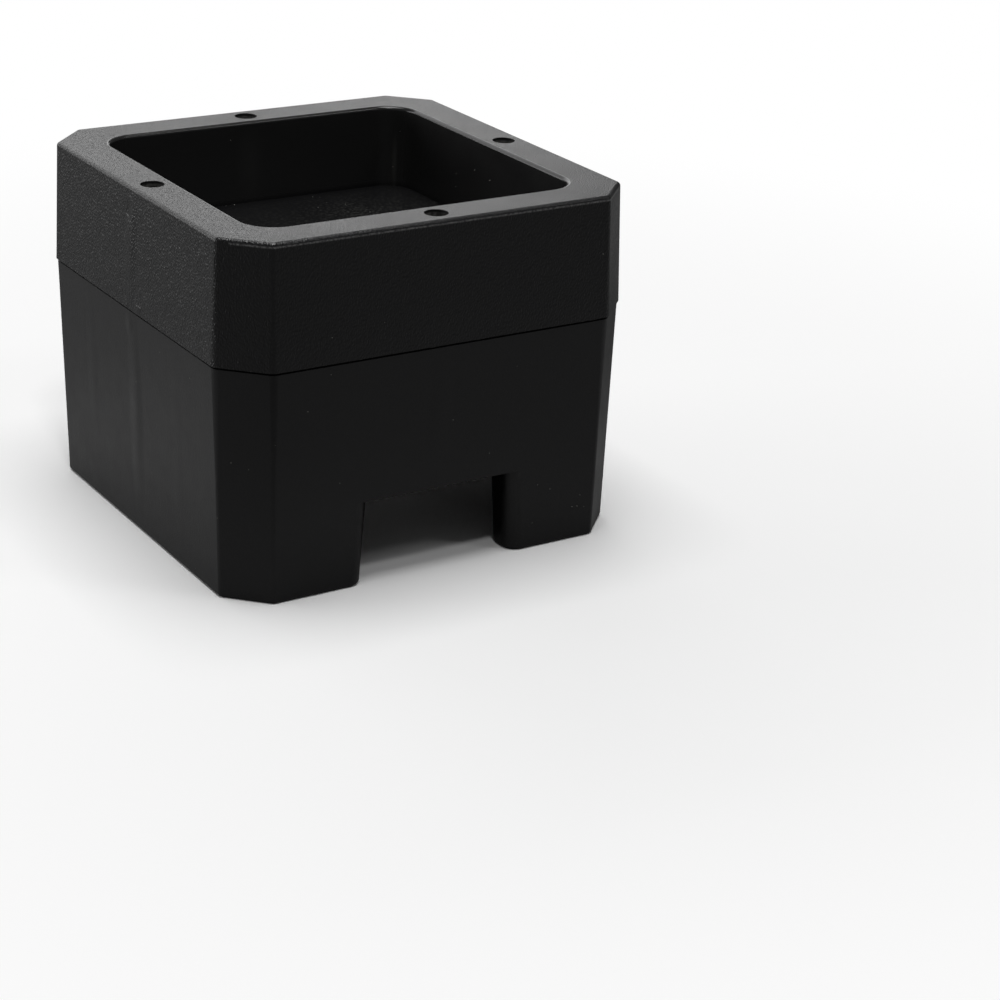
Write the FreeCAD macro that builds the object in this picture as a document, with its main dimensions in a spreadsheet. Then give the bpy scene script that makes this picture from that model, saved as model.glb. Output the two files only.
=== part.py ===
import FreeCAD, Part
import math
import os
import Sketcher

# Bed riser, a square block moulded in one piece.
# The top half, above the parting line, holds the cup that takes a bed's leg.
# The bottom half stands on a ring of walls round a recess, open at the front and the back.
# Origin: centre of the base, on the floor. +Z is up, and the two notched walls face -Y and +Y.
# Lengths are in millimetres and angles in degrees.

SIZES = {
    # whole block
    "overall_height": 76.0,
    "parting_height": 50.0,
    "band_width": 96.0,
    "band_draft": 2.2,
    "parting_step": 0.25,
    "skirt_draft": 1.2,
    "corner_cut": 8.8,
    "corner_radius": 2.4,
    # cup in the top
    "rim_wall": 9.5,
    "cup_depth": 18.5,
    "cup_draft": 2.0,
    "cup_corner_radius": 7.0,
    "cup_floor_radius": 0.25,
    "cup_lip_radius": 0.85,
    "rim_edge_radius": 0.85,
    # blind holes in the rim
    "rim_hole_diameter": 5.0,
    "rim_hole_depth": 6.0,
    # recess and feet underneath
    "foot_wall": 8.3,
    "recess_depth": 18.5,
    "recess_draft": 1.5,
    "recess_corner_radius": 2.6,
    "recess_floor_radius": 0.25,
    "foot_edge_radius": 0.8,
    # notches through the front and back walls
    "notch_width": 35.2,
    "notch_draft": 3.4,
    "post_inner_radius": 3.0,
    "post_outer_radius": 3.3,
    "sill_edge_radius": 0.4,
    # wheel trough in the recess's ceiling
    "trough_width": 37.0,
    "trough_length": 55.0,
    "trough_depth": 4.0,
}

# Sizes that follow from the ones above, as the sketches and features read them.
TOP_WIDTH = "(Sizes.band_width - 2 * (Sizes.overall_height - Sizes.parting_height) * tan(Sizes.band_draft))"
SKIRT_WIDTH = "(Sizes.band_width - 2 * Sizes.parting_step)"
RIM_MIDDLE = f"({TOP_WIDTH} - Sizes.rim_wall) / 2"
BASE_WIDTH = f"({SKIRT_WIDTH} - 2 * Sizes.parting_height * tan(Sizes.skirt_draft))"
CUP_WIDTH = f"({TOP_WIDTH} - 2 * Sizes.rim_wall)"
RECESS_WIDTH = f"({BASE_WIDTH} - 2 * Sizes.foot_wall)"
SILL_WIDTH = "Sizes.notch_width - 2 * Sizes.recess_depth * tan(Sizes.notch_draft)"
TROUGH_RADIUS = "(Sizes.trough_width ^ 2 / 4 + Sizes.trough_depth ^ 2) / (2 * Sizes.trough_depth)"

TOLERANCE = 0.02
UPRIGHT_TILT = 0.001
STEEP_RATIO = 3.0

# A sketch's own numbers for its two axes, and for a line's ends and a circle's centre.
V_AXIS, H_AXIS = range(-2, 0)
START, END, CENTRE = range(1, 4)


def tan(degrees):
    return math.tan(math.radians(degrees))


def make_sheet(doc):
    """The driving sizes, one row each, with the name as the cell's alias."""
    sheet = doc.addObject("Spreadsheet::Sheet", "Sizes")
    for row, (name, value) in enumerate(SIZES.items(), start=1):
        sheet.set(f"A{row}", name)
        sheet.set(f"B{row}", str(value))
        sheet.setAlias(f"B{row}", name)
    doc.recompute()
    return sheet


def origin_feature(body, role):
    """One of the body's own origin planes or axes."""
    return next(f for f in body.Origin.OriginFeatures if f.Role == role)


def make_sketch(body, name, plane_role, height=None):
    """An empty sketch on one of the body's origin planes, raised to a height if one is given."""
    sketch = body.newObject("Sketcher::SketchObject", name)
    sketch.AttachmentSupport = [(origin_feature(body, plane_role), "")]
    sketch.MapMode = "FlatFace"
    if height:
        sketch.setExpression("AttachmentOffset.Base.z", height)
    return sketch


def constrain(sketch, name, expression, *constraint):
    """Adds a constraint with a size, names it and ties it to the sheet."""
    index = sketch.addConstraint(Sketcher.Constraint(*constraint))
    sketch.renameConstraint(index, name)
    sketch.setExpression(f"Constraints.{name}", expression)


def closed_lines(sketch, points):
    """Straight lines from point to point and back to the first, joined at their ends."""
    count = len(points)
    for i, (x, y) in enumerate(points):
        next_x, next_y = points[(i + 1) % count]
        line = Part.LineSegment(FreeCAD.Vector(x, y, 0), FreeCAD.Vector(next_x, next_y, 0))
        sketch.addGeometry(line)
    for i in range(count):
        sketch.addConstraint(Sketcher.Constraint("Coincident", i, END, (i + 1) % count, START))


def draw_cut_square(sketch, width, rough_width):
    """A square about the origin with its four corners cut off."""
    half = rough_width / 2
    inner = half - SIZES["corner_cut"]
    points = [(-inner, -half), (inner, -half), (half, -inner), (half, inner),
              (inner, half), (-inner, half), (-half, inner), (-half, -inner)]
    closed_lines(sketch, points)
    front, right_cut, right, back, left = 0, 1, 2, 4, 6
    add = sketch.addConstraint
    add(Sketcher.Constraint("Symmetric", front, START, front, END, V_AXIS))
    add(Sketcher.Constraint("Symmetric", back, START, back, END, V_AXIS))
    add(Sketcher.Constraint("Symmetric", front, START, back, END, H_AXIS))
    add(Sketcher.Constraint("Symmetric", right, START, right, END, H_AXIS))
    add(Sketcher.Constraint("Symmetric", left, START, left, END, H_AXIS))
    add(Sketcher.Constraint("Symmetric", right, END, left, START, V_AXIS))
    constrain(sketch, "width", width, "DistanceX", left, START, right, END, rough_width)
    constrain(sketch, "depth", width, "DistanceY", front, START, back, END, rough_width)
    cut = SIZES["corner_cut"]
    constrain(sketch, "cut_x", "Sizes.corner_cut", "DistanceX", right_cut, START, right_cut, END, cut)
    constrain(sketch, "cut_y", "Sizes.corner_cut", "DistanceY", right_cut, START, right_cut, END, cut)


def draw_rectangle(sketch, width, depth, rough_width, rough_depth):
    """A rectangle about the origin."""
    x = rough_width / 2
    y = rough_depth / 2
    closed_lines(sketch, [(-x, -y), (x, -y), (x, y), (-x, y)])
    front, right = 0, 1
    add = sketch.addConstraint
    add(Sketcher.Constraint("Symmetric", front, START, front, END, V_AXIS))
    add(Sketcher.Constraint("Symmetric", right, START, right, END, H_AXIS))
    add(Sketcher.Constraint("Horizontal", 2))
    add(Sketcher.Constraint("Vertical", 3))
    constrain(sketch, "width", width, "DistanceX", front, START, front, END, rough_width)
    constrain(sketch, "depth", depth, "DistanceY", right, START, right, END, rough_depth)


def draw_notch(sketch):
    """The notch seen from the front: wide at the floor, a little narrower at the sill."""
    foot = SIZES["notch_width"] / 2
    sill = foot - SIZES["recess_depth"] * tan(SIZES["notch_draft"])
    rise = SIZES["recess_depth"]
    closed_lines(sketch, [(-foot, 0), (foot, 0), (sill, rise), (-sill, rise)])
    floor, side, top = 0, 1, 2
    add = sketch.addConstraint
    add(Sketcher.Constraint("Symmetric", floor, START, floor, END, V_AXIS))
    add(Sketcher.Constraint("Symmetric", top, START, top, END, V_AXIS))
    add(Sketcher.Constraint("PointOnObject", floor, START, H_AXIS))
    constrain(sketch, "width", "Sizes.notch_width", "DistanceX", floor, START, floor, END, 2 * foot)
    constrain(sketch, "rise", "Sizes.recess_depth", "DistanceY", side, START, side, END, rise)
    constrain(sketch, "sill", SILL_WIDTH, "DistanceX", top, END, top, START, 2 * sill)


def draw_trough(sketch):
    """The trough seen from the front: an arc over a chord that lies on the recess's ceiling."""
    half = SIZES["trough_width"] / 2
    rise = SIZES["trough_depth"]
    radius = (half ** 2 + rise ** 2) / (2 * rise)
    base = SIZES["recess_depth"]
    centre = FreeCAD.Vector(0, base + rise - radius, 0)
    angle = math.asin(half / radius)
    circle = Part.Circle(centre, FreeCAD.Vector(0, 0, 1), radius)
    sketch.addGeometry(Part.ArcOfCircle(circle, math.pi / 2 - angle, math.pi / 2 + angle))
    sketch.addGeometry(Part.LineSegment(FreeCAD.Vector(-half, base, 0), FreeCAD.Vector(half, base, 0)))
    arc, chord = 0, 1
    add = sketch.addConstraint
    add(Sketcher.Constraint("Coincident", arc, END, chord, START))
    add(Sketcher.Constraint("Coincident", chord, END, arc, START))
    add(Sketcher.Constraint("Symmetric", chord, START, chord, END, V_AXIS))
    constrain(sketch, "chord", "Sizes.trough_width", "DistanceX", chord, START, chord, END, 2 * half)
    constrain(sketch, "arc_radius", TROUGH_RADIUS, "Radius", arc, radius)
    constrain(sketch, "height", "Sizes.recess_depth", "DistanceY", H_AXIS, START, chord, START, base)


def draw_rim_hole(sketch, rough_width):
    """One round hole on the middle line of the rim, to the right."""
    radius = SIZES["rim_hole_diameter"] / 2
    offset = (rough_width - SIZES["rim_wall"]) / 2
    sketch.addGeometry(Part.Circle(FreeCAD.Vector(offset, 0, 0), FreeCAD.Vector(0, 0, 1), radius))
    sketch.addConstraint(Sketcher.Constraint("PointOnObject", 0, CENTRE, H_AXIS))
    constrain(sketch, "offset", RIM_MIDDLE, "DistanceX", H_AXIS, START, 0, CENTRE, offset)
    constrain(sketch, "diameter", "Sizes.rim_hole_diameter", "Diameter", 0, 2 * radius)


def extrude(body, kind, name, sketch, length, reverse=False, both_ways=False):
    """A pad or a pocket of a sketch."""
    feature = body.newObject(f"PartDesign::{kind}", name)
    feature.Profile = sketch
    feature.Reversed = reverse
    feature.setExpression("Length", length)
    if both_ways:
        feature.SideType = "Symmetric"
    body.Document.recompute()
    return feature


def lean_walls(body, name, angle, height, reverse=False):
    """Draft on the walls that still stand upright. They turn about their edges at a height."""
    base = body.Tip
    walls = [f"Face{i}" for i, face in enumerate(base.Shape.Faces, start=1) if upright(face)]
    neutral = [f"Face{i}" for i, face in enumerate(base.Shape.Faces, start=1) if level(face, height)]
    feature = body.newObject("PartDesign::Draft", name)
    feature.Base = (base, walls)
    feature.NeutralPlane = (base, neutral[:1])
    feature.Reversed = reverse
    feature.setExpression("Angle", angle)
    body.Document.recompute()
    return feature


def round_edges(body, name, radius, chosen):
    """A fillet on each edge of the body so far that the test picks."""
    base = body.Tip
    names = [f"Edge{i}" for i, edge in enumerate(base.Shape.Edges, start=1) if chosen(edge)]
    if not names:
        raise RuntimeError(f"{name} found no edge to round")
    feature = body.newObject("PartDesign::Fillet", name)
    feature.Base = (base, names)
    feature.setExpression("Radius", radius)
    body.Document.recompute()
    return feature


def upright(face):
    """True for a face that stands exactly upright."""
    return face.BoundBox.ZLength > TOLERANCE and abs(face.normalAt(0, 0).z) < UPRIGHT_TILT


def steep(edge):
    """True for an edge that stands nearly upright."""
    box = edge.BoundBox
    return box.ZLength > STEEP_RATIO * max(box.XLength, box.YLength)


def level(shape, height):
    """True for an edge or a face that lies flat at a height."""
    box = shape.BoundBox
    return abs(box.ZMin - height) < TOLERANCE and abs(box.ZMax - height) < TOLERANCE


def reach(edge):
    """How far the edge gets from the block's axis, along X or Y."""
    box = edge.BoundBox
    return max(abs(box.XMin), abs(box.XMax), abs(box.YMin), abs(box.YMax))


def build_riser(doc):
    body = doc.addObject("PartDesign::Body", "Riser")
    body.Label = "riser_block"
    top_width = SIZES["band_width"] - 2 * (SIZES["overall_height"] - SIZES["parting_height"]) * tan(
        SIZES["band_draft"])
    skirt_width = SIZES["band_width"] - 2 * SIZES["parting_step"]
    base_width = skirt_width - 2 * SIZES["parting_height"] * tan(SIZES["skirt_draft"])
    cup_width = top_width - 2 * SIZES["rim_wall"]
    recess_width = base_width - 2 * SIZES["foot_wall"]
    parting = SIZES["parting_height"]
    rim = SIZES["overall_height"]
    cup_floor = rim - SIZES["cup_depth"]
    ceiling = SIZES["recess_depth"]

    # The outer form: the grained band above the parting line and the smooth skirt below it.
    band_outline = make_sketch(body, "BandOutline", "XY_Plane", "Sizes.parting_height")
    draw_cut_square(band_outline, "Sizes.band_width", SIZES["band_width"])
    extrude(body, "Pad", "Band", band_outline, "Sizes.overall_height - Sizes.parting_height")
    round_edges(body, "BandCorners", "Sizes.corner_radius", steep)
    lean_walls(body, "BandDraft", "Sizes.band_draft", parting)
    skirt_outline = make_sketch(body, "SkirtOutline", "XY_Plane", "Sizes.parting_height")
    draw_cut_square(skirt_outline, SKIRT_WIDTH, skirt_width)
    extrude(body, "Pad", "Skirt", skirt_outline, "Sizes.parting_height", reverse=True)
    round_edges(body, "SkirtCorners", "Sizes.corner_radius",
                lambda e: steep(e) and e.BoundBox.ZMin < TOLERANCE)
    lean_walls(body, "SkirtDraft", "Sizes.skirt_draft", parting, reverse=True)

    # The cup that the leg stands in.
    cup_outline = make_sketch(body, "CupOutline", "XY_Plane", "Sizes.overall_height")
    draw_rectangle(cup_outline, CUP_WIDTH, CUP_WIDTH, cup_width, cup_width)
    extrude(body, "Pocket", "Cup", cup_outline, "Sizes.cup_depth")

    def in_cup(edge):
        return edge.BoundBox.ZMin > cup_floor - TOLERANCE and reach(edge) < cup_width / 2 + TOLERANCE

    round_edges(body, "CupCorners", "Sizes.cup_corner_radius", lambda e: steep(e) and in_cup(e))
    lean_walls(body, "CupDraft", "Sizes.cup_draft", rim)
    round_edges(body, "CupFloorRound", "Sizes.cup_floor_radius", lambda e: level(e, cup_floor))
    round_edges(body, "CupLip", "Sizes.cup_lip_radius", lambda e: level(e, rim) and in_cup(e))
    round_edges(body, "RimEdge", "Sizes.rim_edge_radius",
                lambda e: level(e, rim) and reach(e) > (top_width + cup_width) / 4)

    # The recess underneath, which leaves the walls that the block stands on.
    recess_outline = make_sketch(body, "RecessOutline", "XY_Plane")
    draw_rectangle(recess_outline, RECESS_WIDTH, RECESS_WIDTH, recess_width, recess_width)
    extrude(body, "Pocket", "Recess", recess_outline, "Sizes.recess_depth", reverse=True)

    def in_recess(edge):
        return edge.BoundBox.ZMax < ceiling + TOLERANCE and reach(edge) < recess_width / 2 + TOLERANCE

    round_edges(body, "RecessCorners", "Sizes.recess_corner_radius", lambda e: steep(e) and in_recess(e))
    lean_walls(body, "RecessDraft", "Sizes.recess_draft", 0, reverse=True)
    round_edges(body, "RecessFloorRound", "Sizes.recess_floor_radius", lambda e: level(e, ceiling))

    # The notches, cut through both walls in one pass, and the rounded ends that they leave.
    notch_outline = make_sketch(body, "NotchOutline", "XZ_Plane")
    draw_notch(notch_outline)
    extrude(body, "Pocket", "Notches", notch_outline, "2 * Sizes.band_width", both_ways=True)

    def beside_notch(edge):
        box = edge.BoundBox
        near = max(abs(box.XMin), abs(box.XMax)) < SIZES["notch_width"] / 2 + TOLERANCE
        return near and steep(edge) and box.ZMin < TOLERANCE

    round_edges(body, "PostOuterRounds", "Sizes.post_outer_radius",
                lambda e: beside_notch(e) and reach(e) > base_width / 2 - TOLERANCE)
    round_edges(body, "PostInnerRounds", "Sizes.post_inner_radius",
                lambda e: beside_notch(e) and reach(e) < recess_width / 2 + TOLERANCE)
    round_edges(body, "FootEdges", "Sizes.foot_edge_radius", lambda e: level(e, 0))
    round_edges(body, "SillEdges", "Sizes.sill_edge_radius",
                lambda e: level(e, ceiling) and abs(e.CenterOfMass.y) > base_width / 2 and e.Length > ceiling)

    # The trough that keeps a castor's wheel from rolling when the block is used upside down.
    trough_outline = make_sketch(body, "TroughOutline", "XZ_Plane")
    draw_trough(trough_outline)
    extrude(body, "Pocket", "Trough", trough_outline, "Sizes.trough_length", both_ways=True)

    # The four blind holes, one in the middle of each side of the rim.
    hole_outline = make_sketch(body, "RimHoleOutline", "XY_Plane", "Sizes.overall_height")
    draw_rim_hole(hole_outline, top_width)
    hole = extrude(body, "Pocket", "RimHole", hole_outline, "Sizes.rim_hole_depth")
    pattern = body.newObject("PartDesign::PolarPattern", "RimHoles")
    pattern.Originals = [hole]
    pattern.Axis = (origin_feature(body, "Z_Axis"), [""])
    pattern.Angle = 360
    pattern.Occurrences = 4
    body.Tip = pattern
    body.Placement = FreeCAD.Placement()
    doc.recompute()
    return body


def check(doc, bodies):
    """Stops if a feature failed, or a piece isn't one valid solid."""
    for item in doc.Objects:
        if "Invalid" in item.State or "Error" in item.State:
            raise RuntimeError(f"{item.Name} failed: {item.State}")
    for body in bodies:
        if body.Shape.isNull() or not body.Shape.isValid() or len(body.Shape.Solids) != 1:
            raise RuntimeError(f"{body.Label} isn't one valid solid")


def main():
    doc = FreeCAD.newDocument("BedRiser")
    make_sheet(doc)
    bodies = [build_riser(doc)]
    check(doc, bodies)
    os.makedirs("parts", exist_ok=True)
    for body in bodies:
        body.Shape.exportStep(os.path.join("parts", f"{body.Label}.step"))
        box = body.Shape.BoundBox
        print(f"{body.Label}: {body.Shape.Volume:.0f} mm3,",
              f"{box.XLength:.2f} x {box.YLength:.2f} x {box.ZLength:.2f} mm")


main()
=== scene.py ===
import math
import bmesh
import bpy
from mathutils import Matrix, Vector


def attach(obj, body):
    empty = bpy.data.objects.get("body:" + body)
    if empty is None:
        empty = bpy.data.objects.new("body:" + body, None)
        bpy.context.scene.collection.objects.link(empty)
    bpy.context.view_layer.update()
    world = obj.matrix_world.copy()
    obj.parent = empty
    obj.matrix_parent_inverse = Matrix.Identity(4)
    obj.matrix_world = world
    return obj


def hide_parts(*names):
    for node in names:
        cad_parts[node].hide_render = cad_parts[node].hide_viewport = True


# A bed riser moulded in one piece from black polypropylene: a square block with a cup and a recess.
# Lengths are in millimetres unless a comment says metres, and MM turns them into the scene's metres.

MM = 0.001

RIM_HEIGHT = 76.0
PARTING_HEIGHT = 50.0
CUP_FLOOR = 57.5
CEILING = 18.5
BAND_HALF_WIDTH = 48.0
SKIRT_HALF_WIDTH = 47.75
CUP_HALF_WIDTH = 37.5
TROUGH_HALF_WIDTH = 18.5
HOLE_OFFSET = 42.25

# The lean of the walls, in degrees.
BAND_DRAFT = 2.2
SKIRT_DRAFT = 1.2
CUP_DRAFT = 2.0

# The limits by which a face's finish is told. Each lies a little outside the faces that it takes in.
CUP_REACH = 38.4
RECESS_REACH = 38.3
RECESS_TOP = 23.0
HOLE_REACH = 2.7
HOLE_BOTTOM = 69.0

# Shallow flow marks in the outer faces: the centre of each, its reach along x, y and z, and its height.
SKIRT_MARKS = [
    ((-47.4, -0.5, 27.0), (6.0, 3.8, 30.0), 0.17),
    ((-47.4, 1.2, 46.5), (3.0, 2.2, 4.0), 0.10),
    ((-47.4, 21.5, 30.0), (6.0, 3.4, 24.0), 0.04),
    ((-47.4, -21.0, 24.0), (6.0, 3.2, 26.0), 0.03),
    ((-1.0, -47.4, 36.0), (3.6, 6.0, 15.0), 0.10),
]
BAND_MARKS = [
    ((-47.6, 0.0, 64.0), (6.0, 3.4, 15.0), 0.40),
    ((-48.0, 1.8, 51.0), (3.0, 1.4, 2.2), 0.14),
    ((-48.0, -3.8, 52.0), (3.0, 2.6, 1.2), 0.14),
    ((-47.5, 1.2, 70.5), (3.0, 1.5, 3.2), -0.30),
]

# Specks of lint that the photograph shows: how far along the face each lies, and how high.
FRONT_SPECKS = [
    (-14.5, 56.8), (-11.5, 66.9), (-26.4, 47.8), (-31.4, 40.8), (11.4, 24.1), (33.2, 7.6),
    (36.3, 7.0), (34.5, 7.5), (23.1, 5.8), (27.2, 12.9), (24.0, 14.5), (35.1, 10.0),
]
LEFT_SPECKS = [(-28.0, 44.0), (-1.3, 34.4), (9.4, 49.6), (1.4, 18.5), (-4.3, 13.2)]
CUP_WALL_SPECKS = [(11.3, 66.2), (3.7, 68.9), (11.1, 63.2)]

# Specks on the cup's floor, along x and y.
CUP_FLOOR_SPECKS = [
    (-7.9, 36.5), (-5.8, 36.5), (13.2, 34.7), (14.7, 34.0), (10.3, 26.7), (16.8, 25.9), (19.2, 18.6),
]

# Pale marks on the cup's walls: its centre, its reach along x, y and z, and how strong it is.
# A thin line in the corner at the back right, a painted highlight in place of the corner's bright streak, and
# a faint lighter patch in the middle of the back wall.
WALL_STREAK_AND_PATCH = [
    ((34.9, 35.3, 63.0), (0.9, 0.9, 9.0), 0.40),
    ((-1.5, 36.8, 66.0), (4.5, 3.0, 12.0), 0.11),
]

# Greys painted into the floor that only reflections see, which set the painted light and shade that the
# plastic mirrors: the centre of each zone, its reach, and its colour.
# The darkest zone is laid twice, because one layer fades out too early.
FLOOR_ZONES = [
    ((-50, 32, 0), (95, 120, 50), "#8e8e8e"),
    ((0, -60, 0), (90, 60, 50), "#848484"),
    ((-95, -180, 0), (105, 130, 50), "#000000"),
    ((-95, -180, 0), (105, 130, 50), "#000000"),
    ((150, 30, 0), (140, 100, 50), "#000000"),
]

# Area lamps, in metres and watts: name, place, aim, width, height and power.
SOFTBOXES = [
    ("back_softbox", (0.09, 1.54, 0.72), (0, 0, 0.05), 2.06, 0.9, 8.7),
    ("horizon_softbox", (0.985, 1.26, 0.17), (0, 0, 0.06), 0.5, 0.28, 0.38),
    ("left_softbox", (-1.25, 0.95, 0.32), (0, 0, 0.05), 1.1, 0.62, 7.2),
    ("top_softbox", (0.0, 0.0, 1.3), (0, 0, 0), 0.8, 0.8, 11.2),
    ("camera_softbox", (-0.20, -0.51, 0.96), (0, 0, 0.05), 0.1, 0.1, 1.3),
    ("front_softbox", (0.50, -0.58, 0.77), (0, 0, 0.05), 0.16, 0.16, 0.5),
]

# Colours
BLACK = "#131314"
# Painted light: the cup's walls and the recess are painted lighter than the plastic.
WALL_BLACK_PAINTED_LIGHTER = "#202020"
# Dust, and the pale marks on the cup's walls, one of them a painted highlight.
DUST_AND_HIGHLIGHT = "#424240"
# Painted light farther in the pin holes.
HOLE_PAINTED_LIGHT_GREY = "#5c5c5a"
# The painted highlight along the front edge.
EDGE_HIGHLIGHT_GREY = "#7e7e7e"
LINT = "#a6a6a0"
FLASH = "#6a6a68"
FLOOR_GREY = "#666666"
WHITE = "#ffffff"

PLASTIC_IOR = 1.49

# How white the floor and the room look in the plastic's reflections, and how much the room lights it.
FLOOR_GLOSS = 0.1
ROOM_GLOSS = 0.025
ROOM_DIM = 0.08

# An edge that turns by more than this many degrees stays sharp.
SHARP_ANGLE = 38

# A full turn, in radians.
FULL_TURN = 6.283

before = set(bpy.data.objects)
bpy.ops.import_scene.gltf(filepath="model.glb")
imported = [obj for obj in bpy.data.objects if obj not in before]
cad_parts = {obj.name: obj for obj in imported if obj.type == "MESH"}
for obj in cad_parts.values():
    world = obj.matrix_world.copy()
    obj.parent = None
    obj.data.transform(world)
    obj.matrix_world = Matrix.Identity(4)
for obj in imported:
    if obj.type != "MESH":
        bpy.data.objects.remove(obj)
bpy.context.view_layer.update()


# Helpers

def linear(hex_colour):
    """An sRGB hex colour as a linear RGBA tuple."""
    parts = [int(hex_colour[i:i + 2], 16) / 255 for i in (1, 3, 5)]
    return tuple(p / 12.92 if p <= 0.04045 else ((p + 0.055) / 1.055) ** 2.4 for p in parts) + (1.0,)


def add(tree, kind, inputs=None, **settings):
    """Adds a node. An input is a value or another node's output socket, under the input's name or number."""
    node = tree.nodes.new(kind)
    for name, value in settings.items():
        setattr(node, name, value)
    for name, value in (inputs or {}).items():
        socket = node.inputs[name]
        if isinstance(value, bpy.types.NodeSocket):
            tree.links.new(value, socket)
        else:
            socket.default_value = value
    return node


def new_material(name):
    """A material with an empty node tree and an output node."""
    material = bpy.data.materials.new(name)
    material.use_nodes = True
    material.node_tree.nodes.clear()
    return material, material.node_tree, add(material.node_tree, "ShaderNodeOutputMaterial")


def link_new(name, data):
    """A new object in the scene, at the origin."""
    obj = bpy.data.objects.new(name, data)
    bpy.context.scene.collection.objects.link(obj)
    return obj


# Patterns that several materials share

def soft_spot(tree, place, centre, reach):
    """A mask that is 1 at a centre and fades to 0 at its reach along x, y and z, both in millimetres."""
    own = add(tree, "ShaderNodeMapping", {
        "Vector": place,
        "Location": [-c / r for c, r in zip(centre, reach)],
        "Scale": [1 / (r * MM) for r in reach]}).outputs["Vector"]
    far = add(tree, "ShaderNodeVectorMath", {0: own}, operation="LENGTH").outputs["Value"]
    return add(tree, "ShaderNodeMapRange", {"Value": far, "From Min": 1.0, "From Max": 0.0},
               interpolation_type="SMOOTHSTEP").outputs["Result"]


def flow_marks(tree, place, marks):
    """The height of shallow marks at each point, in metres. They wander about 1 mm in 20 mm of length."""
    wander = add(tree, "ShaderNodeTexNoise", {
        "Vector": place, "Scale": 1 / (20 * MM), "Detail": 1.0}).outputs["Color"]
    shift = add(tree, "ShaderNodeVectorMath", {0: wander, 1: (0.5, 0.5, 0.5)},
                operation="SUBTRACT").outputs["Vector"]
    shift = add(tree, "ShaderNodeVectorMath", {0: shift, "Scale": 3 * MM},
                operation="SCALE").outputs["Vector"]
    bent = add(tree, "ShaderNodeVectorMath", {0: place, 1: shift}, operation="ADD").outputs["Vector"]
    total = 0.0
    for centre, reach, height in marks:
        spot = soft_spot(tree, bent, centre, reach)
        total = add(tree, "ShaderNodeMath", {0: spot, 1: height * MM, 2: total},
                    operation="MULTIPLY_ADD").outputs[0]
    return total


# Materials

def spark_eroded_polypropylene():
    """Moulded polypropylene with a fine spark-eroded grain: semi-matte, with a faint sparkle."""
    material, tree, output = new_material("spark_eroded_polypropylene")
    place = add(tree, "ShaderNodeTexCoord").outputs["Object"]
    along = add(tree, "ShaderNodeSeparateXYZ", {"Vector": place}).outputs
    # The flow front left a shallow upright ridge in the left face, with a dent and a hooked end at the seam.
    ridge = flow_marks(tree, place, BAND_MARKS)
    ridge_bump = add(tree, "ShaderNodeBump", {"Height": ridge, "Distance": 1.0, "Strength": 1.0})
    # Grain pits about 0.3 mm wide and 0.5 mm tall, drawn wider than the real 0.1 mm so that they still show.
    # They are shallower over the rim and its rounded edge, where the mould was stoned smoother.
    drawn = add(tree, "ShaderNodeMapping", {
        "Vector": place, "Scale": (1 / (0.3 * MM), 1 / (0.3 * MM), 1 / (0.5 * MM))}).outputs["Vector"]
    grain = add(tree, "ShaderNodeTexNoise", {"Vector": drawn, "Scale": 1.0, "Detail": 0.0}).outputs["Fac"]
    depth = add(tree, "ShaderNodeMapRange", {
        "Value": along["Z"], "From Min": (RIM_HEIGHT - 1.2) * MM, "From Max": (RIM_HEIGHT - 0.6) * MM,
        "To Min": 0.15 * MM, "To Max": 0.10 * MM}).outputs["Result"]
    grain_bump = add(tree, "ShaderNodeBump", {
        "Height": grain, "Distance": depth, "Strength": 1.0, "Normal": ridge_bump.outputs["Normal"]})
    # Patches about 12 mm wide where the grain is a little flatter.
    patches = add(tree, "ShaderNodeTexNoise", {
        "Vector": place, "Scale": 1 / (12 * MM), "Detail": 2.0}).outputs["Fac"]
    rough = add(tree, "ShaderNodeMapRange", {
        "Value": patches, "From Min": 0.3, "From Max": 0.7, "To Min": 0.28, "To Max": 0.34}).outputs["Result"]
    # A painted highlight: a pale broken line about 0.4 mm tall along the front edge, where the rounding meets
    # the face.
    edge_highlight = soft_spot(tree, place, (0, 0, RIM_HEIGHT - 0.87), (1000, 1000, 0.32))
    breaks = add(tree, "ShaderNodeTexNoise", {
        "Vector": place, "Scale": 1 / (0.5 * MM), "Detail": 1.0}).outputs["Fac"]
    broken = add(tree, "ShaderNodeMapRange", {
        "Value": breaks, "From Min": 0.35, "From Max": 0.60, "To Min": 0.25}).outputs["Result"]
    front = add(tree, "ShaderNodeMath", {0: along["Y"], 1: -40.7 * MM}, operation="LESS_THAN").outputs[0]
    for mask in (broken, front):
        edge_highlight = add(tree, "ShaderNodeMath", {0: edge_highlight, 1: mask}, operation="MULTIPLY").outputs[0]
    colour = add(tree, "ShaderNodeMix", {
        0: edge_highlight, 6: linear(BLACK), 7: linear(EDGE_HIGHLIGHT_GREY)}, data_type="RGBA").outputs[2]
    shader = add(tree, "ShaderNodeBsdfPrincipled", {
        "Base Color": colour, "IOR": PLASTIC_IOR, "Roughness": rough, "Normal": grain_bump.outputs["Normal"]})
    tree.links.new(shader.outputs["BSDF"], output.inputs["Surface"])
    return material


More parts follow.
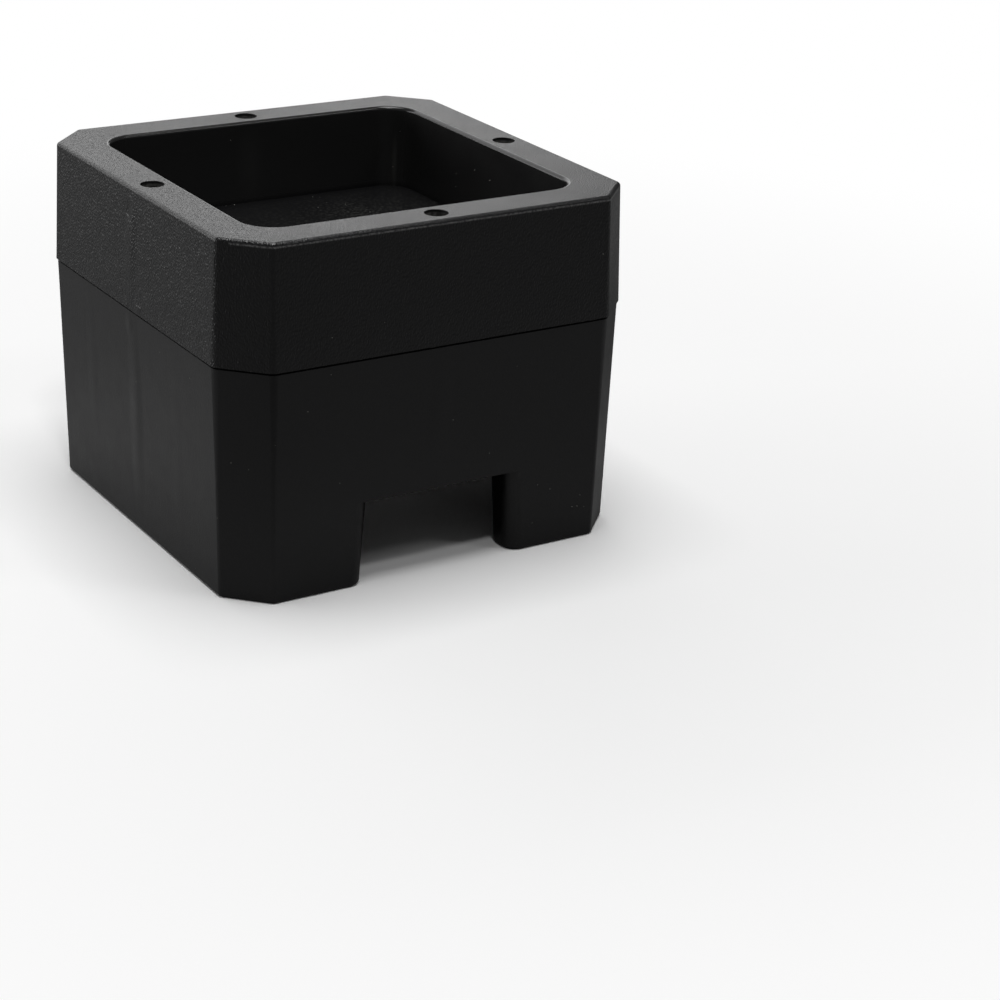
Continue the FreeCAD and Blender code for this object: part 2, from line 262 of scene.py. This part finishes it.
def draw_polished_polypropylene():
    """Moulded polypropylene from a polished cavity: satin, with faint drag marks from the mould opening."""
    material, tree, output = new_material("draw_polished_polypropylene")
    place = add(tree, "ShaderNodeTexCoord").outputs["Object"]
    # Shallow upright ridges where the flow fronts met, in the left face and above the front notch.
    ridge = flow_marks(tree, place, SKIRT_MARKS)
    ridge_bump = add(tree, "ShaderNodeBump", {"Height": ridge, "Distance": 1.0, "Strength": 1.0})
    # Drag marks about 1.5 mm wide and 40 mm long.
    upright = add(tree, "ShaderNodeMapping", {
        "Vector": place, "Scale": (1 / (1.5 * MM), 1 / (1.5 * MM), 1 / (40 * MM))}).outputs["Vector"]
    drag = add(tree, "ShaderNodeTexNoise", {"Vector": upright, "Scale": 1.0, "Detail": 3.0}).outputs["Fac"]
    drag_bump = add(tree, "ShaderNodeBump", {
        "Height": drag, "Distance": 0.006 * MM, "Strength": 1.0, "Normal": ridge_bump.outputs["Normal"]})
    # Polishing marks about 0.3 mm across, drawn wider than the real 0.05 mm so that they still show.
    fine = add(tree, "ShaderNodeTexNoise", {
        "Vector": place, "Scale": 1 / (0.3 * MM), "Detail": 0.0}).outputs["Fac"]
    fine_bump = add(tree, "ShaderNodeBump", {
        "Height": fine, "Distance": 0.03 * MM, "Strength": 1.0, "Normal": drag_bump.outputs["Normal"]})
    # Cloudy patches about 6 mm wide where the polish is duller.
    patches = add(tree, "ShaderNodeTexNoise", {
        "Vector": place, "Scale": 1 / (6 * MM), "Detail": 4.0, "Roughness": 0.6}).outputs["Fac"]
    rough = add(tree, "ShaderNodeMapRange", {
        "Value": patches, "From Min": 0.3, "From Max": 0.7, "To Min": 0.29, "To Max": 0.37}).outputs["Result"]
    shader = add(tree, "ShaderNodeBsdfPrincipled", {
        "Base Color": linear(BLACK), "IOR": PLASTIC_IOR, "Roughness": rough,
        "Normal": fine_bump.outputs["Normal"]})
    tree.links.new(shader.outputs["BSDF"], output.inputs["Surface"])
    return material


def core_ground_polypropylene():
    """Moulded polypropylene from a plain ground core: satin, dusty on the cup's floor, with painted light and
    shade in the cup.
    """
    material, tree, output = new_material("core_ground_polypropylene")
    place = add(tree, "ShaderNodeTexCoord").outputs["Object"]
    along = add(tree, "ShaderNodeSeparateXYZ", {"Vector": place}).outputs
    # Dust thickens towards the cup's floor, in flecks about 0.8 mm wide. The recess below stays clean.
    low = add(tree, "ShaderNodeMapRange", {
        "Value": along["Z"], "From Min": (CUP_FLOOR + 1.5) * MM, "From Max": CUP_FLOOR * MM},
        interpolation_type="SMOOTHSTEP").outputs["Result"]
    high = add(tree, "ShaderNodeMath", {0: along["Z"], 1: (CUP_FLOOR - 5) * MM},
               operation="GREATER_THAN").outputs[0]
    flecks = add(tree, "ShaderNodeTexNoise", {
        "Vector": place, "Scale": 1 / (0.8 * MM), "Detail": 2.0}).outputs["Fac"]
    fine = add(tree, "ShaderNodeMapRange", {
        "Value": flecks, "From Min": 0.48, "From Max": 0.70, "To Min": 0.06}).outputs["Result"]
    # Most of it lies in one patch at the back right. It fades out towards the back wall, so the floor there
    # is darker: painted shade of the back wall.
    patch = soft_spot(tree, place, (17.9, 20.0, CUP_FLOOR), (15, 15, 6))
    dust_and_painted_light = add(tree, "ShaderNodeMapRange", {"Value": patch, "To Min": 0.4, "To Max": 1.0}).outputs["Result"]
    front = add(tree, "ShaderNodeMapRange", {
        "Value": along["Y"], "From Min": 38 * MM, "From Max": 14 * MM}).outputs["Result"]
    for mask in (low, high, fine, front):
        dust_and_painted_light = add(tree, "ShaderNodeMath", {0: dust_and_painted_light, 1: mask}, operation="MULTIPLY").outputs[0]
    # The wall marks: a painted highlight in the back right corner, and a faint lighter patch on the back
    # wall.
    for centre, reach, share in WALL_STREAK_AND_PATCH:
        spot = soft_spot(tree, place, centre, reach)
        wall_mark = add(tree, "ShaderNodeMath", {0: spot, 1: share}, operation="MULTIPLY").outputs[0]
        dust_and_painted_light = add(tree, "ShaderNodeMath", {0: dust_and_painted_light, 1: wall_mark}, operation="MAXIMUM").outputs[0]
    # The walls, and the recess below, are painted a little lighter than the cup's floor: painted light in
    # place of light the lamps don't bring in.
    floor_share = add(tree, "ShaderNodeMath", {0: low, 1: high}, operation="MULTIPLY").outputs[0]
    base = add(tree, "ShaderNodeMix", {
        0: floor_share, 6: linear(WALL_BLACK_PAINTED_LIGHTER), 7: linear(BLACK)}, data_type="RGBA").outputs[2]
    dust_and_highlight_colour = add(tree, "ShaderNodeMix", {0: dust_and_painted_light, 6: base, 7: linear(DUST_AND_HIGHLIGHT)}, data_type="RGBA").outputs[2]
    # Patches about 7 mm wide where the surface is duller.
    patches = add(tree, "ShaderNodeTexNoise", {
        "Vector": place, "Scale": 1 / (7 * MM), "Detail": 4.0}).outputs["Fac"]
    rough = add(tree, "ShaderNodeMapRange", {
        "Value": patches, "From Min": 0.3, "From Max": 0.7, "To Min": 0.20, "To Max": 0.26}).outputs["Result"]
    shader = add(tree, "ShaderNodeBsdfPrincipled", {
        "Base Color": dust_and_highlight_colour, "IOR": PLASTIC_IOR, "Roughness": rough})
    tree.links.new(shader.outputs["BSDF"], output.inputs["Surface"])
    return material


def pin_hole_painted_light_and_shade_polypropylene():
    """Moulded polypropylene round the mould's pins: painted shade, black, under the lip, and painted light, a
    flecked grey, farther in.
    """
    material, tree, output = new_material("pin_hole_painted_light_and_shade_polypropylene")
    place = add(tree, "ShaderNodeTexCoord").outputs["Object"]
    height = add(tree, "ShaderNodeSeparateXYZ", {"Vector": place}).outputs["Z"]
    deep = add(tree, "ShaderNodeMapRange", {
        "Value": height, "From Min": (RIM_HEIGHT - 0.4) * MM, "From Max": (RIM_HEIGHT - 0.8) * MM},
        interpolation_type="SMOOTHSTEP").outputs["Result"]
    # The painted light lies in flecks about 0.6 mm wide.
    flecks = add(tree, "ShaderNodeTexNoise", {
        "Vector": place, "Scale": 1 / (0.6 * MM), "Detail": 1.0}).outputs["Fac"]
    fine = add(tree, "ShaderNodeMapRange", {
        "Value": flecks, "From Min": 0.35, "From Max": 0.6, "To Min": 0.3}).outputs["Result"]
    dust_and_painted_light = add(tree, "ShaderNodeMath", {0: deep, 1: fine}, operation="MULTIPLY").outputs[0]
    colour = add(tree, "ShaderNodeMix", {
        0: dust_and_painted_light, 6: linear(BLACK), 7: linear(HOLE_PAINTED_LIGHT_GREY)}, data_type="RGBA").outputs[2]
    shader = add(tree, "ShaderNodeBsdfPrincipled", {
        "Base Color": colour, "IOR": PLASTIC_IOR, "Roughness": 0.45})
    tree.links.new(shader.outputs["BSDF"], output.inputs["Surface"])
    return material


def pale_crumb(name, colour):
    """Pale crumbs of lint or trimmed plastic: matte, and too small to show any pattern."""
    material, tree, output = new_material(name)
    shader = add(tree, "ShaderNodeBsdfPrincipled", {
        "Base Color": linear(colour), "Roughness": 0.9, "IOR": 1.45})
    tree.links.new(shader.outputs["BSDF"], output.inputs["Surface"])
    return material


def floor_paint():
    """Matte studio floor: pale to the camera, and a mid grey to the plastic's reflections."""
    material, tree, output = new_material("matte_floor_paint")
    path = add(tree, "ShaderNodeLightPath").outputs
    gloss = add(tree, "ShaderNodeMath", {0: path["Is Glossy Ray"], 1: FLOOR_GLOSS},
                operation="MULTIPLY").outputs[0]
    direct = add(tree, "ShaderNodeMath", {0: path["Is Camera Ray"], 1: path["Is Transmission Ray"]},
                 operation="MAXIMUM").outputs[0]
    shown = add(tree, "ShaderNodeMath", {0: gloss, 1: direct}, operation="MAXIMUM").outputs[0]
    # The hidden grey is painted lighter round the foot, where it fills in the floor's own shadow in the
    # reflections, and painted darker where the corners mirror the room's unlit sides.
    place = add(tree, "ShaderNodeTexCoord").outputs["Object"]
    hidden = linear(FLOOR_GREY)
    for centre, reach, grey in FLOOR_ZONES:
        zone = soft_spot(tree, place, centre, reach)
        hidden = add(tree, "ShaderNodeMix", {
            0: zone, 6: hidden, 7: linear(grey)}, data_type="RGBA").outputs[2]
    colour = add(tree, "ShaderNodeMix", {0: shown, 6: hidden, 7: linear(WHITE)}, data_type="RGBA").outputs[2]
    paint = add(tree, "ShaderNodeBsdfDiffuse", {"Color": colour}).outputs["BSDF"]
    # Beyond the riser's shadow the camera sees plain white up to the horizon. It lights nothing.
    away = add(tree, "ShaderNodeVectorMath", {0: place}, operation="LENGTH").outputs["Value"]
    past_shadow = add(tree, "ShaderNodeMapRange", {"Value": away, "From Min": 110 * MM, "From Max": 330 * MM},
                      interpolation_type="SMOOTHSTEP").outputs["Result"]
    white = add(tree, "ShaderNodeEmission", {"Color": linear(WHITE), "Strength": 1.0}).outputs["Emission"]
    blank = add(tree, "ShaderNodeMath", {0: past_shadow, 1: direct}, operation="MULTIPLY").outputs[0]
    surface = add(tree, "ShaderNodeMixShader", {0: blank, 1: paint, 2: white}).outputs[0]
    # Seen from below, the floor is clear, so that the recess and the feet can be looked at.
    below = add(tree, "ShaderNodeNewGeometry").outputs["Backfacing"]
    clear = add(tree, "ShaderNodeBsdfTransparent").outputs["BSDF"]
    one_sided = add(tree, "ShaderNodeMixShader", {0: below, 1: surface, 2: clear}).outputs[0]
    tree.links.new(one_sided, output.inputs["Surface"])
    return material


# The riser's body

def joined_copy(node):
    """A copy of a CAD node's mesh with its loose triangles joined."""
    shape = bmesh.new()
    shape.from_mesh(node.data)
    bmesh.ops.remove_doubles(shape, verts=shape.verts, dist=0.002 * MM)
    return shape


def cut_parting_groove(shape, height, depth):
    """A fine V-shaped groove under the band, where the two halves of the mould met."""
    level = (PARTING_HEIGHT - height) * MM
    bmesh.ops.bisect_plane(shape, geom=shape.verts[:] + shape.edges[:] + shape.faces[:],
                           plane_co=(0, 0, level), plane_no=(0, 0, 1))
    seam = PARTING_HEIGHT * MM
    top = [v for v in shape.verts if abs(v.co.z - seam) < 0.001 * MM
           and any(e.other_vert(v).co.z < seam - 0.001 * MM for e in v.link_edges)]
    for vert in top:
        reach = max(abs(vert.co.x), abs(vert.co.y))
        vert.co.x *= 1 - depth * MM / reach
        vert.co.y *= 1 - depth * MM / reach


def square_up_cup_floor(shape, rounding):
    """Runs the cup's walls straight down to its floor. The real corner is too tight to catch the light."""
    floor = CUP_FLOOR * MM
    for vert in shape.verts:
        in_rounding = floor < vert.co.z < floor + 1.05 * rounding * MM
        if in_rounding and max(abs(vert.co.x), abs(vert.co.y)) < CUP_REACH * MM:
            vert.co.z = floor


def ease_trough_edges(shape, width):
    """Takes the sharpness off the two long edges of the wheel trough."""
    edges = [e for e in shape.edges
             if all(abs(v.co.z - CEILING * MM) < 0.005 * MM for v in e.verts)
             and all(abs(abs(v.co.x) - TROUGH_HALF_WIDTH * MM) < 0.02 * MM for v in e.verts)]
    bmesh.ops.bevel(shape, geom=edges, offset=width * MM, segments=3, profile=0.5, affect="EDGES",
                    clamp_overlap=True)


def finish_of(centre):
    """The finish of the face with this centre: 0 band and rim, 1 skirt, 2 cup and recess, 3 holes."""
    x, y, z = abs(centre.x) / MM, abs(centre.y) / MM, centre.z / MM
    from_hole = min(math.hypot(x - HOLE_OFFSET, y), math.hypot(x, y - HOLE_OFFSET))
    if HOLE_BOTTOM < z < RIM_HEIGHT - 0.1 and from_hole < HOLE_REACH:
        return 3
    in_cup = CUP_FLOOR - 0.1 < z < RIM_HEIGHT - 0.005 and max(x, y) < CUP_REACH
    in_recess = 0.1 < z < RECESS_TOP and max(x, y) < RECESS_REACH
    if in_cup or in_recess:
        return 2
    return 0 if z > PARTING_HEIGHT - 0.001 else 1


def make_body(node, finishes):
    """The riser's body: the CAD shape with its groove, eased edges and a finish for each kind of face."""
    shape = joined_copy(node)
    cut_parting_groove(shape, height=0.5, depth=0.8)
    square_up_cup_floor(shape, rounding=0.25)
    ease_trough_edges(shape, width=0.35)
    for face in shape.faces:
        face.smooth = True
        face.material_index = finish_of(face.calc_center_median())
    for edge in shape.edges:
        edge.smooth = len(edge.link_faces) == 2 and edge.calc_face_angle(0.0) < math.radians(SHARP_ANGLE)
    mesh = bpy.data.meshes.new("riser_body")
    shape.to_mesh(mesh)
    shape.free()
    for material in finishes:
        mesh.materials.append(material)
    body = link_new("riser_body", mesh)
    weighted = body.modifiers.new("even_shading", "WEIGHTED_NORMAL")
    weighted.keep_sharp = True
    weighted.weight = 60
    return body


# Lint and flash

def outer_half_width(height):
    """Half the riser's width at a height. Band and skirt both lean inwards away from the parting line."""
    if height > PARTING_HEIGHT:
        return BAND_HALF_WIDTH - (height - PARTING_HEIGHT) * math.tan(math.radians(BAND_DRAFT))
    return SKIRT_HALF_WIDTH - (PARTING_HEIGHT - height) * math.tan(math.radians(SKIRT_DRAFT))


def cup_half_width(height):
    """Half the cup's width at a height. Its walls close in towards the floor."""
    return CUP_HALF_WIDTH - (RIM_HEIGHT - height) * math.tan(math.radians(CUP_DRAFT))


def lint_spots():
    """The points where single specks of lint lie."""
    front = [(x, -outer_half_width(z), z) for x, z in FRONT_SPECKS]
    left = [(-outer_half_width(z), y, z) for y, z in LEFT_SPECKS]
    cup_wall = [(cup_half_width(z), y, z) for y, z in CUP_WALL_SPECKS]
    cup_floor = [(x, y, CUP_FLOOR) for x, y in CUP_FLOOR_SPECKS]
    return front + left + cup_wall + cup_floor


def new_tree(name, named_inputs):
    """An empty Geometry Nodes tree, and the identifiers of its named inputs in their order."""
    tree = bpy.data.node_groups.new(name, "GeometryNodeTree")
    sockets = tree.interface
    sockets.new_socket("Geometry", in_out="INPUT", socket_type="NodeSocketGeometry")
    keys = [sockets.new_socket(label, in_out="INPUT", socket_type=kind).identifier
            for label, kind in named_inputs]
    sockets.new_socket("Geometry", in_out="OUTPUT", socket_type="NodeSocketGeometry")
    return tree, keys


def speck_tree(lint):
    """Geometry Nodes: a small flattened crumb at each given point, and more strewn over the body."""
    tree, keys = new_tree("lint_specks", [
        ("Body", "NodeSocketObject"), ("Speck size", "NodeSocketFloat"),
        ("Specks per square metre", "NodeSocketFloat"), ("Seed", "NodeSocketInt")])
    given = add(tree, "NodeGroupInput").outputs
    body = add(tree, "GeometryNodeObjectInfo", {"Object": given["Body"]}).outputs["Geometry"]
    strewn = add(tree, "GeometryNodeDistributePointsOnFaces", {
        "Mesh": body, "Density": given["Specks per square metre"], "Seed": given["Seed"]}).outputs["Points"]
    # Wiped and handled faces stay clean, so specks are strewn only between the foot and the rim.
    position = add(tree, "GeometryNodeInputPosition").outputs[0]
    height = add(tree, "ShaderNodeSeparateXYZ", {"Vector": position}).outputs["Z"]
    above = add(tree, "ShaderNodeMath", {0: height, 1: (RIM_HEIGHT - 1) * MM},
                operation="GREATER_THAN").outputs[0]
    under = add(tree, "ShaderNodeMath", {0: height, 1: 1 * MM}, operation="LESS_THAN").outputs[0]
    wiped = add(tree, "ShaderNodeMath", {0: above, 1: under}, operation="MAXIMUM").outputs[0]
    kept = add(tree, "GeometryNodeDeleteGeometry", {"Geometry": strewn, "Selection": wiped},
               domain="POINT").outputs[0]
    points = add(tree, "GeometryNodeJoinGeometry")
    tree.links.new(given["Geometry"], points.inputs[0])
    tree.links.new(kept, points.inputs[0])
    crumb = add(tree, "GeometryNodeMeshIcoSphere", {"Radius": 0.5, "Subdivisions": 1}).outputs["Mesh"]
    turn = add(tree, "FunctionNodeRandomValue", {
        0: (0, 0, 0), 1: (FULL_TURN, FULL_TURN, FULL_TURN), "Seed": given["Seed"]},
        data_type="FLOAT_VECTOR").outputs[0]
    share = add(tree, "FunctionNodeRandomValue", {
        0: (0.5, 0.4, 0.3), 1: (1.4, 0.8, 0.6), "Seed": given["Seed"]}, data_type="FLOAT_VECTOR").outputs[0]
    scale = add(tree, "ShaderNodeVectorMath", {0: share, "Scale": given["Speck size"]},
                operation="SCALE").outputs[0]
    specks = add(tree, "GeometryNodeInstanceOnPoints", {
        "Points": points.outputs[0], "Instance": crumb, "Rotation": turn,
        "Scale": scale}).outputs["Instances"]
    real = add(tree, "GeometryNodeRealizeInstances", {"Geometry": specks}).outputs["Geometry"]
    coated = add(tree, "GeometryNodeSetMaterial", {"Geometry": real, "Material": lint}).outputs["Geometry"]
    add(tree, "NodeGroupOutput", {"Geometry": coated})
    return tree, keys


def flash_tree(flash):
    """Geometry Nodes: thin slivers of flash along the seam, at the given share of its points."""
    tree, keys = new_tree("parting_flash", [
        ("Sliver length", "NodeSocketFloat"), ("Sliver thickness", "NodeSocketFloat"),
        ("Share left standing", "NodeSocketFloat"), ("Seed", "NodeSocketInt")])
    given = add(tree, "NodeGroupInput").outputs
    seam = add(tree, "GeometryNodeMeshToCurve", {"Mesh": given["Geometry"]}).outputs["Curve"]
    points = add(tree, "GeometryNodeCurveToPoints", {"Curve": seam, "Length": given["Sliver length"]},
                 mode="LENGTH").outputs
    standing = add(tree, "FunctionNodeRandomValue", {
        "Probability": given["Share left standing"], "Seed": given["Seed"]}, data_type="BOOLEAN").outputs[3]
    sliver = add(tree, "GeometryNodeMeshIcoSphere", {"Radius": 0.5, "Subdivisions": 1}).outputs["Mesh"]
    thin = add(tree, "ShaderNodeCombineXYZ", {
        "X": given["Sliver thickness"], "Y": given["Sliver thickness"],
        "Z": given["Sliver length"]}).outputs[0]
    share = add(tree, "FunctionNodeRandomValue", {
        0: (0.5, 0.5, 0.5), 1: (1.0, 1.0, 1.4), "Seed": given["Seed"]}, data_type="FLOAT_VECTOR").outputs[0]
    scale = add(tree, "ShaderNodeVectorMath", {0: thin, 1: share}, operation="MULTIPLY").outputs[0]
    slivers = add(tree, "GeometryNodeInstanceOnPoints", {
        "Points": points["Points"], "Selection": standing, "Instance": sliver,
        "Rotation": points["Rotation"], "Scale": scale}).outputs["Instances"]
    real = add(tree, "GeometryNodeRealizeInstances", {"Geometry": slivers}).outputs["Geometry"]
    coated = add(tree, "GeometryNodeSetMaterial", {"Geometry": real, "Material": flash}).outputs["Geometry"]
    add(tree, "NodeGroupOutput", {"Geometry": coated})
    return tree, keys


def seam_loop(body):
    """The points of the band's lower edge in order round the riser, and the edges between them.

    They are drawn in by 0.15 mm, so that the flash stays inside the band's outline.
    """
    seam = PARTING_HEIGHT * MM
    mesh = body.data
    pairs = [tuple(edge.vertices) for edge in mesh.edges]
    below = {n for n, other in pairs + [pair[::-1] for pair in pairs]
             if abs(mesh.vertices[n].co.z - seam) < 0.01 * MM and mesh.vertices[other].co.z > seam + MM}
    ring = sorted((mesh.vertices[n].co for n in below), key=lambda p: math.atan2(p.y, p.x))
    inset = 1 - 0.15 / BAND_HALF_WIDTH
    ring = [(p.x * inset / MM, p.y * inset / MM, PARTING_HEIGHT - 0.06) for p in ring]
    return ring, [(n, (n + 1) % len(ring)) for n in range(len(ring))]


def grow(name, points, edges, tree, settings):
    """Runs a Geometry Nodes tree over a set of points and returns the result as a plain mesh object."""
    seedbed = bpy.data.meshes.new(name + "_points")
    seedbed.from_pydata([Vector(p) * MM for p in points], edges, [])
    carrier = link_new(name + "_points", seedbed)
    modifier = carrier.modifiers.new("tree", "NODES")
    modifier.node_group = tree
    for identifier, value in settings.items():
        modifier[identifier] = value
    bpy.context.view_layer.update()
    ready = carrier.evaluated_get(bpy.context.evaluated_depsgraph_get())
    mesh = bpy.data.meshes.new_from_object(ready)
    carrier.modifiers.clear()
    bpy.data.objects.remove(carrier)
    return link_new(name, mesh)


# Studio

def studio_floor():
    """The floor, a hair below the feet."""
    bpy.ops.mesh.primitive_plane_add(size=8.0, location=(0, 0, -0.05 * MM))
    floor = bpy.context.object
    floor.name = "studio_floor"
    floor.data.materials.append(floor_paint())


def studio_world():
    """White to the camera. The black plastic mirrors only a small share of it, as in a dark room."""
    world = bpy.data.worlds.new("studio")
    bpy.context.scene.world = world
    world.use_nodes = True
    tree = world.node_tree
    tree.nodes.clear()
    path = add(tree, "ShaderNodeLightPath").outputs
    direct = add(tree, "ShaderNodeMath", {0: path["Is Camera Ray"], 1: path["Is Transmission Ray"]},
                 operation="MAXIMUM").outputs[0]
    gloss = add(tree, "ShaderNodeMath", {0: path["Is Glossy Ray"], 1: ROOM_GLOSS},
                operation="MULTIPLY").outputs[0]
    seen = add(tree, "ShaderNodeMath", {0: gloss, 1: direct}, operation="MAXIMUM").outputs[0]
    dim = add(tree, "ShaderNodeBackground", {"Color": linear(WHITE), "Strength": ROOM_DIM})
    white = add(tree, "ShaderNodeBackground", {"Color": linear(WHITE), "Strength": 1.0})
    mixed = add(tree, "ShaderNodeMixShader", {0: seen, 1: dim.outputs[0], 2: white.outputs[0]})
    add(tree, "ShaderNodeOutputWorld", {"Surface": mixed.outputs[0]})


def softbox(name, place, aim, width, height, power):
    """A rectangular area lamp that faces its aim."""
    lamp = bpy.data.lights.new(name, "AREA")
    lamp.shape = "RECTANGLE"
    lamp.size = width
    lamp.size_y = height
    lamp.energy = power
    obj = link_new(name, lamp)
    obj.location = place
    obj.rotation_euler = (Vector(aim) - Vector(place)).to_track_quat("-Z", "Y").to_euler()


def photograph_camera():
    """The camera at the photograph's place and angle, in metres and degrees."""
    lens = bpy.data.cameras.new("camera")
    lens.sensor_width = 36.0
    lens.sensor_fit = "HORIZONTAL"
    lens.lens = 88.5958
    camera = link_new("camera", lens)
    camera.location = (-0.2440285, -0.4479338, 0.2149455)
    camera.rotation_euler = [math.radians(a) for a in (67.02427, -2.04978, -31.96042)]
    bpy.context.scene.camera = camera


# Build

finishes = [
    spark_eroded_polypropylene(),
    draw_polished_polypropylene(),
    core_ground_polypropylene(),
    pin_hole_painted_light_and_shade_polypropylene(),
]
body = make_body(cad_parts["riser_block"], finishes)
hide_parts("riser_block")
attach(body, "root")

tree, (on, size, count, seed) = speck_tree(pale_crumb("lint_fibre", LINT))
lint = grow("lint_specks", lint_spots(), [], tree, {on: body, size: 0.26 * MM, count: 1200.0, seed: 4})
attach(lint, "root")

tree, (length, thickness, share, seed) = flash_tree(pale_crumb("trimmed_flash_edge", FLASH))
seam_points, seam_edges = seam_loop(body)
flash = grow("parting_flash", seam_points, seam_edges, tree,
             {length: 1.2 * MM, thickness: 0.12 * MM, share: 0.15, seed: 3})
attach(flash, "root")

studio_floor()
studio_world()
for lamp in SOFTBOXES:
    softbox(*lamp)
photograph_camera()
bpy.context.scene.view_settings.view_transform = "Standard"
